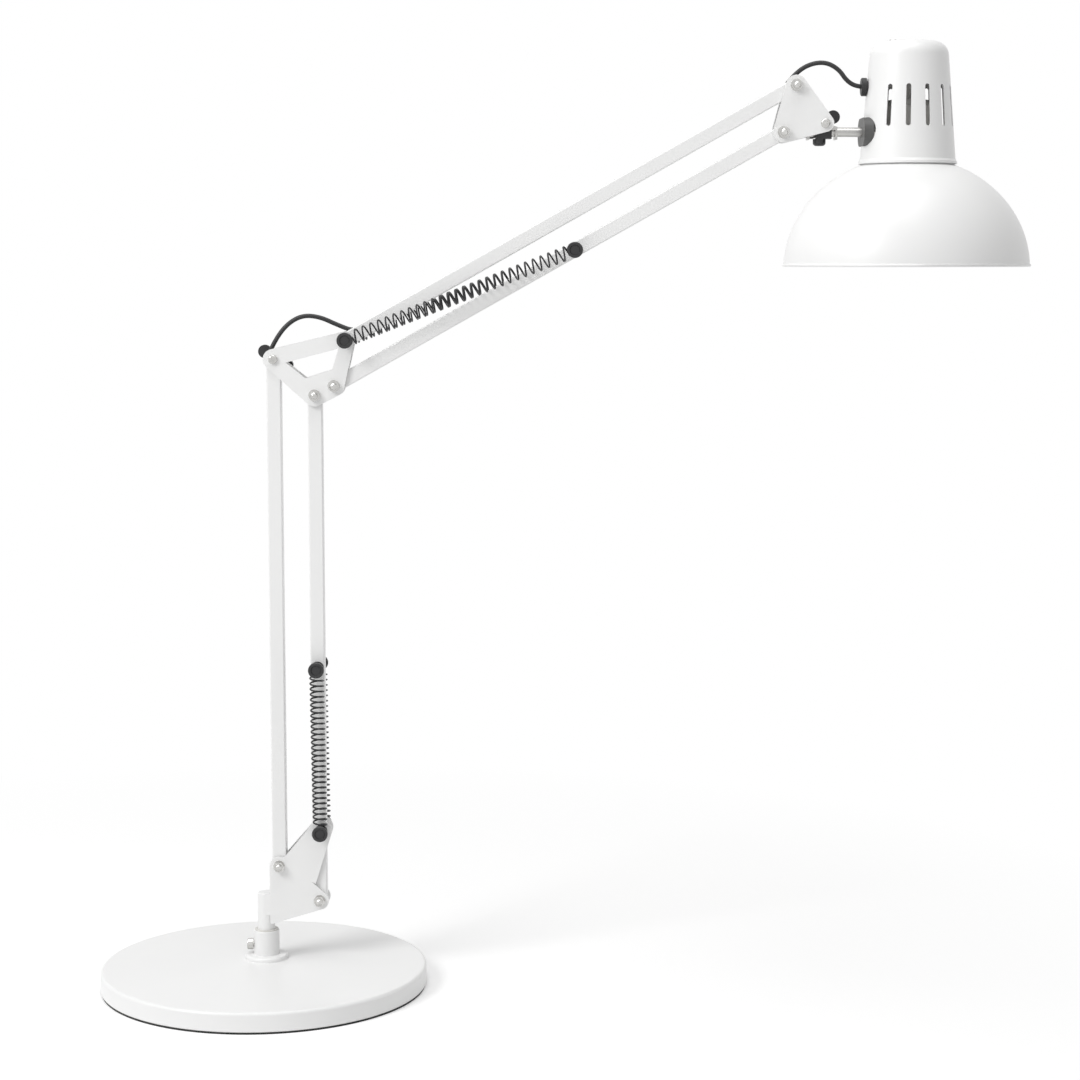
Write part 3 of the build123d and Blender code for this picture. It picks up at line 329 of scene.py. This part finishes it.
def tubeAlong(name, points, radius, look, sides=20):
    # a closed tube whose rings are carried along the line without twist
    mesh = bmesh.new()
    ways = []
    for index, point in enumerate(points):
        before = points[max(index - 1, 0)]
        after = points[min(index + 1, len(points) - 1)]
        ways.append((after - before).normalized())
    side = ways[0].orthogonal().normalized()
    rings = []
    for point, way in zip(points, ways):
        side = (side - way * side.dot(way)).normalized()
        up = way.cross(side)
        ring = []
        for step in range(sides):
            turn = 2 * math.pi * step / sides
            reach = side * math.cos(turn) * radius + up * math.sin(turn) * radius
            ring.append(mesh.verts.new(point + reach))
        rings.append(ring)
    for first, second in zip(rings, rings[1:]):
        for step in range(sides):
            after = (step + 1) % sides
            face = mesh.faces.new((first[step], first[after], second[after], second[step]))
            face.smooth = True
    mesh.faces.new(list(reversed(rings[0])))
    mesh.faces.new(rings[-1])
    data = bpy.data.meshes.new(name)
    mesh.to_mesh(data)
    mesh.free()
    return newPiece(name, data, look)


def routeLine(name, route, resolution=16):
    # the smooth line of a cord: an order-3 NURBS with the route's points as its control points
    curve = bpy.data.curves.new(name + "Route", "CURVE")
    curve.dimensions = "3D"
    spline = curve.splines.new("NURBS")
    spline.points.add(len(route) - 1)
    for point, (x, z) in zip(spline.points, route):
        point.co = (x, 0.0, z, 1.0)
    spline.order_u = 3
    spline.use_endpoint_u = True
    spline.resolution_u = resolution
    holder = bpy.data.objects.new(name + "Route", curve)
    scene.collection.objects.link(holder)
    bpy.context.view_layer.update()
    line = bpy.data.meshes.new_from_object(holder.evaluated_get(bpy.context.evaluated_depsgraph_get()))
    points = [vertex.co.copy() for vertex in line.vertices]
    bpy.data.objects.remove(holder)
    bpy.data.meshes.remove(line)
    bpy.data.curves.remove(curve)
    return points


def lineLength(points):
    return sum((second - first).length for first, second in zip(points, points[1:]))


def cutLine(points, places):
    # splits a line at shares of its length; neighbours share the point at the cut
    total = lineLength(points)
    stretches = []
    current = [points[0]]
    walked = 0.0
    marks = [share * total for share in places]
    for first, second in zip(points, points[1:]):
        step = (second - first).length
        while marks and walked + step >= marks[0]:
            cut = first.lerp(second, (marks[0] - walked) / step)
            if (cut - current[-1]).length > 1e-6:
                current.append(cut)
            stretches.append(current)
            current = [cut]
            marks.pop(0)
        if (second - current[-1]).length > 1e-6:
            current.append(second)
        walked += step
    stretches.append(current)
    return stretches


# the two free loops of the lead, cut where they cross a joint

leadSize = {"radius": 0.00155, "sides": 24}


def fromPivot(pivot, step):
    return (pivot.x + step[0], pivot.z + step[1])


def layStretch(name, points, node):
    stretch = tubeAlong(name, points, leadSize["radius"], blackRubber, leadSize["sides"])
    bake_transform(stretch)
    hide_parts(node)


elbowLoop = {
    "steps": [
        (0.0658, 0.0219), (0.0563, 0.0187), (0.0438, 0.0235), (0.0318, 0.0290), (0.0198, 0.0300),
        (0.0093, 0.0240), (0.0013, 0.0135), (-0.0045, 0.0010), (-0.0022, -0.0115), (0.0, -0.0235),
    ],
    "start": (0.0523, 0.0203),
    "end": (-0.0017, -0.0095),
    "cuts": [0.5],
}
elbowPoints = routeLine("elbowLoop", [fromPivot(elbowA, step) for step in elbowLoop["steps"]])
elbowStretches = cutLine(elbowPoints, elbowLoop["cuts"])
print("elbow loop: %.4f m, stretches %s" % (
    lineLength(elbowPoints), ["%.4f" % lineLength(stretch) for stretch in elbowStretches]))

layStretch("elbowLoopUpper", elbowStretches[0],
           "elbow_cord_loop")
layStretch("elbowLoopLower", elbowStretches[1],
           "elbow_cord_loop")

grommetLow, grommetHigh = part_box("cord_grommet")
grommetZ = (grommetLow.z + grommetHigh.z) / 2
headLoop = {
    "steps": [
        (-0.0288, -0.01615), (-0.0192, -0.0106), (-0.0095, -0.0044), (-0.0020, 0.0066), (0.0079, 0.0142),
        (0.0199, 0.0162), (0.0294, 0.0112), (0.0349, 0.0032),
    ],
    "start": (-0.0136, -0.0068),
    "end": (0.0409, -0.0003),
    "cuts": [0.334, 0.667],
    "flange": 0.0042,  # the grommet's outer flange, proud of the housing
    "runOut": 0.0065,
    "runIn": 0.0020,
}
grommetX = grommetLow.x + headLoop["flange"]
headRoute = [fromPivot(headU, step) for step in headLoop["steps"]]
headRoute += [(grommetX - headLoop["runOut"], grommetZ), (grommetX + headLoop["runIn"], grommetZ)]
headPoints = routeLine("headLoop", headRoute)
headStretches = cutLine(headPoints, headLoop["cuts"])
print("head loop: %.4f m, stretches %s" % (
    lineLength(headPoints), ["%.4f" % lineLength(stretch) for stretch in headStretches]))
layStretch("headLoopBar", headStretches[0],
           "head_cord_loop")
layStretch("headLoopTop", headStretches[1],
           "head_cord_loop")
layStretch("headLoopHousing", headStretches[2],
           "head_cord_loop")
print("cord loops done")


# tension springs: coils from a node tree, laid in sections along the line between the two spools, with the end
# hooks attached to their bodies

springSize = {
    "outerRadius": 0.00525,
    "wireRadius": 0.0006,
    "offset": 0.0132,
    "coreRadius": 0.0035,
    "sections": 7,
    "turnsPerSection": 4,
    "stepsPerTurn": 36,
    "wireSides": 10,
    "endReach": 0.0050,
}


def makeCoilTree():
    tree = bpy.data.node_groups.new("coilOfWire", "GeometryNodeTree")
    face = tree.interface
    face.new_socket("Geometry", in_out="OUTPUT", socket_type="NodeSocketGeometry")
    names = (("Turns", 4.0), ("Radius", 0.005), ("Height", 0.01), ("Wire Radius", 0.0006))
    for name, value in names:
        socket = face.new_socket(name, in_out="INPUT", socket_type="NodeSocketFloat")
        socket.default_value = value
    for name, value in (("Steps", 36), ("Wire Sides", 10)):
        socket = face.new_socket(name, in_out="INPUT", socket_type="NodeSocketInt")
        socket.default_value = value
    face.new_socket("Material", in_out="INPUT", socket_type="NodeSocketMaterial")
    inputs = tree.nodes.new("NodeGroupInput")
    outputs = tree.nodes.new("NodeGroupOutput")
    spiral = tree.nodes.new("GeometryNodeCurveSpiral")
    circle = tree.nodes.new("GeometryNodeCurvePrimitiveCircle")
    sweep = tree.nodes.new("GeometryNodeCurveToMesh")
    smooth = tree.nodes.new("GeometryNodeSetShadeSmooth")
    realize = tree.nodes.new("GeometryNodeRealizeInstances")
    paint = tree.nodes.new("GeometryNodeSetMaterial")
    sweep.inputs["Fill Caps"].default_value = True
    link = tree.links.new
    link(inputs.outputs["Steps"], spiral.inputs["Resolution"])
    link(inputs.outputs["Turns"], spiral.inputs["Rotations"])
    link(inputs.outputs["Radius"], spiral.inputs["Start Radius"])
    link(inputs.outputs["Radius"], spiral.inputs["End Radius"])
    link(inputs.outputs["Height"], spiral.inputs["Height"])
    link(inputs.outputs["Wire Sides"], circle.inputs["Resolution"])
    link(inputs.outputs["Wire Radius"], circle.inputs["Radius"])
    link(spiral.outputs["Curve"], sweep.inputs["Curve"])
    link(circle.outputs["Curve"], sweep.inputs["Profile Curve"])
    link(sweep.outputs["Mesh"], smooth.inputs["Geometry"])
    link(smooth.outputs["Geometry"], realize.inputs["Geometry"])
    link(realize.outputs["Geometry"], paint.inputs["Geometry"])
    link(inputs.outputs["Material"], paint.inputs["Material"])
    link(paint.outputs["Geometry"], outputs.inputs["Geometry"])
    return tree


def treeMesh(name, tree, values):
    # runs a node tree once and keeps its result as a plain mesh
    holder = bpy.data.objects.new(name + "Holder", bpy.data.meshes.new(name + "Empty"))
    scene.collection.objects.link(holder)
    modifier = holder.modifiers.new("tree", "NODES")
    modifier.node_group = tree
    for item in tree.interface.items_tree:
        if item.item_type == "SOCKET" and item.in_out == "INPUT" and item.name in values:
            modifier[item.identifier] = values[item.name]
    bpy.context.view_layer.update()
    mesh = bpy.data.meshes.new_from_object(holder.evaluated_get(bpy.context.evaluated_depsgraph_get()))
    holder.modifiers.remove(modifier)
    bpy.data.objects.remove(holder)
    return mesh


coilTree = makeCoilTree()


def makeSpring(label, fixedEnd, movingEnd, side, fixedBody, movingBody, node):
    size = springSize
    first = Vector((fixedEnd.x, side * size["offset"], fixedEnd.z))
    last = Vector((movingEnd.x, side * size["offset"], movingEnd.z))
    way = (last - first).normalized()
    across = Vector((0, 1, 0))
    up = way.cross(across)
    frameTurn = Matrix((
        (across.x, up.x, way.x, 0),
        (across.y, up.y, way.y, 0),
        (across.z, up.z, way.z, 0),
        (0, 0, 0, 1),
    ))
    coilStart = first + way * size["endReach"]
    coilEnd = last - way * size["endReach"]
    coilRadius = size["outerRadius"] - size["wireRadius"]
    height = (coilEnd - coilStart).length / size["sections"]
    firstCoil = None
    for index in range(size["sections"]):
        begin = coilStart + way * height * index
        mesh = treeMesh(label, coilTree, {
            "Turns": float(size["turnsPerSection"]), "Radius": coilRadius, "Height": height,
            "Wire Radius": size["wireRadius"], "Steps": size["stepsPerTurn"],
            "Wire Sides": size["wireSides"], "Material": springSteel})
        mesh.transform(Matrix.Translation(begin) @ frameTurn)
        piece = newPiece("%sCoil%d" % (label, index + 1), mesh, springSteel)
        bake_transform(piece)
        firstCoil = firstCoil or piece
    hookRadius = size["coreRadius"] + size["wireRadius"]
    for end, coil, sense, body, name in (
        (first, coilStart, 1, fixedBody, "HookLow"), (last, coilEnd, -1, movingBody, "HookHigh"),
    ):
        # an open loop round the spool, then a short run out to the first coil
        out = way * sense
        points = []
        for step in range(31):
            turn = math.radians(200 - 290 * step / 30)
            points.append(end + (up * math.cos(turn) + out * math.sin(turn)) * hookRadius)
        rest = points[-1]
        goal = coil + across * coilRadius
        bend = end + out * (size["endReach"] * 0.75) + across * coilRadius * 0.5
        for step in range(1, 13):
            share = step / 12
            points.append(rest * (1 - share) ** 2 + bend * 2 * share * (1 - share) + goal * share**2)
        hook = tubeAlong(label + name, points, size["wireRadius"], springSteel, size["wireSides"])
        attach(hook, body)
    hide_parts(node)


for side, end in ((-1, "front"), (1, "rear")):
    makeSpring("lowerSpring" + end.title(), springS, springQ, side, "swivel", "front_bar",
               "lower_spring_" + end)
    makeSpring("upperSpring" + end.title(), elbowD, springR, side, "elbow", "under_bar",
               "upper_spring_" + end)
print("springs done")


# floor, backdrop, lights and camera

stageLook = {
    "floorTone": 0.90,
    "floorReach": 6.0,
    "glowLift": 0.20,
    "near": 0.15,  # the floor starts to turn white here, and is white at far
    "far": 0.75,
    "worldGrey": 0.80,
    "worldPower": 0.52,
}


def seenDirectly(tree):
    # 1 for rays from the camera, also through glass and off shiny metal
    path = tree.nodes.new("ShaderNodeLightPath")
    seen = path.outputs["Is Camera Ray"]
    for name in ("Is Glossy Ray", "Is Transmission Ray"):
        either = tree.nodes.new("ShaderNodeMath")
        either.operation = "MAXIMUM"
        tree.links.new(seen, either.inputs[0])
        tree.links.new(path.outputs[name], either.inputs[1])
        seen = either.outputs[0]
    return seen


def makeFloor():
    mesh = bpy.data.meshes.new("studioFloor")
    reach = stageLook["floorReach"]
    mesh.from_pydata([(-reach, -reach, 0), (reach, -reach, 0), (reach, reach, 0), (-reach, reach, 0)],
                     [], [(0, 1, 2, 3)])
    material = bpy.data.materials.new("studioFloor")
    material.use_nodes = True
    tree = material.node_tree
    shader = tree.nodes["Principled BSDF"]
    tone = stageLook["floorTone"]
    shader.inputs["Base Color"].default_value = (tone, tone, tone, 1)
    shader.inputs["Roughness"].default_value = 0.9
    shader.inputs["Specular IOR Level"].default_value = 0.1
    seen = seenDirectly(tree)
    lift = tree.nodes.new("ShaderNodeMath")
    lift.operation = "MULTIPLY"
    lift.inputs[1].default_value = stageLook["glowLift"]
    tree.links.new(seen, lift.inputs[0])
    shader.inputs["Emission Color"].default_value = (1, 1, 1, 1)
    tree.links.new(lift.outputs[0], shader.inputs["Emission Strength"])
    # away from the lamp the floor turns into the same white as the backdrop
    coords = tree.nodes.new("ShaderNodeTexCoord")
    reachNode = tree.nodes.new("ShaderNodeVectorMath")
    reachNode.operation = "LENGTH"
    tree.links.new(coords.outputs["Object"], reachNode.inputs[0])
    share = addRange(tree, reachNode.outputs["Value"], 0.0, 1.0, stageLook["near"], stageLook["far"])
    both = tree.nodes.new("ShaderNodeMath")
    both.operation = "MULTIPLY"
    tree.links.new(share, both.inputs[0])
    tree.links.new(seen, both.inputs[1])
    glow = tree.nodes.new("ShaderNodeEmission")
    mix = tree.nodes.new("ShaderNodeMixShader")
    tree.links.new(both.outputs[0], mix.inputs[0])
    tree.links.new(shader.outputs[0], mix.inputs[1])
    tree.links.new(glow.outputs[0], mix.inputs[2])
    tree.links.new(mix.outputs[0], tree.nodes["Material Output"].inputs["Surface"])
    floor = newPiece("studioFloor", mesh, material)


def makeWorld():
    world = bpy.data.worlds.new("studioWorld")
    scene.world = world
    world.use_nodes = True
    tree = world.node_tree
    back = tree.nodes["Background"]
    grey = stageLook["worldGrey"]
    back.inputs["Color"].default_value = (grey, grey, grey, 1)
    back.inputs["Strength"].default_value = stageLook["worldPower"]
    white = tree.nodes.new("ShaderNodeBackground")
    white.inputs["Color"].default_value = (1, 1, 1, 1)
    white.inputs["Strength"].default_value = 1.0
    mix = tree.nodes.new("ShaderNodeMixShader")
    tree.links.new(seenDirectly(tree), mix.inputs[0])
    tree.links.new(back.outputs[0], mix.inputs[1])
    tree.links.new(white.outputs[0], mix.inputs[2])
    tree.links.new(mix.outputs[0], tree.nodes["World Output"].inputs["Surface"])


def addLamp(name, place, aim, size, power):
    light = bpy.data.lights.new(name, "AREA")
    light.shape = "SQUARE"
    light.size = size
    light.energy = power
    lamp = bpy.data.objects.new(name, light)
    lamp.location = place
    lamp.rotation_euler = (Vector(aim) - Vector(place)).to_track_quat("-Z", "Y").to_euler()
    scene.collection.objects.link(lamp)


makeFloor()
makeWorld()
keyLamp = {"place": (-1.6, -1.5, 1.9), "aim": (0.15, 0, 0.35), "size": 1.1, "power": 35.0}
topLamp = {"place": (0.1, -0.4, 2.4), "aim": (0.2, 0, 0.3), "size": 1.6, "power": 19.0}
addLamp("keyLeft", **keyLamp)
addLamp("topSoft", **topLamp)

cameraSize = {"lens": 81.3, "sensor": 36.0, "place": (0.1939, -1.6877, 0.5060), "tilt": 83.48}
cameraData = bpy.data.cameras.new("camera")
cameraData.lens = cameraSize["lens"]
cameraData.sensor_width = cameraSize["sensor"]
camera = bpy.data.objects.new("camera", cameraData)
camera.location = cameraSize["place"]
camera.rotation_euler = (math.radians(cameraSize["tilt"]), 0, 0)
scene.collection.objects.link(camera)
scene.camera = camera
print("stage done")
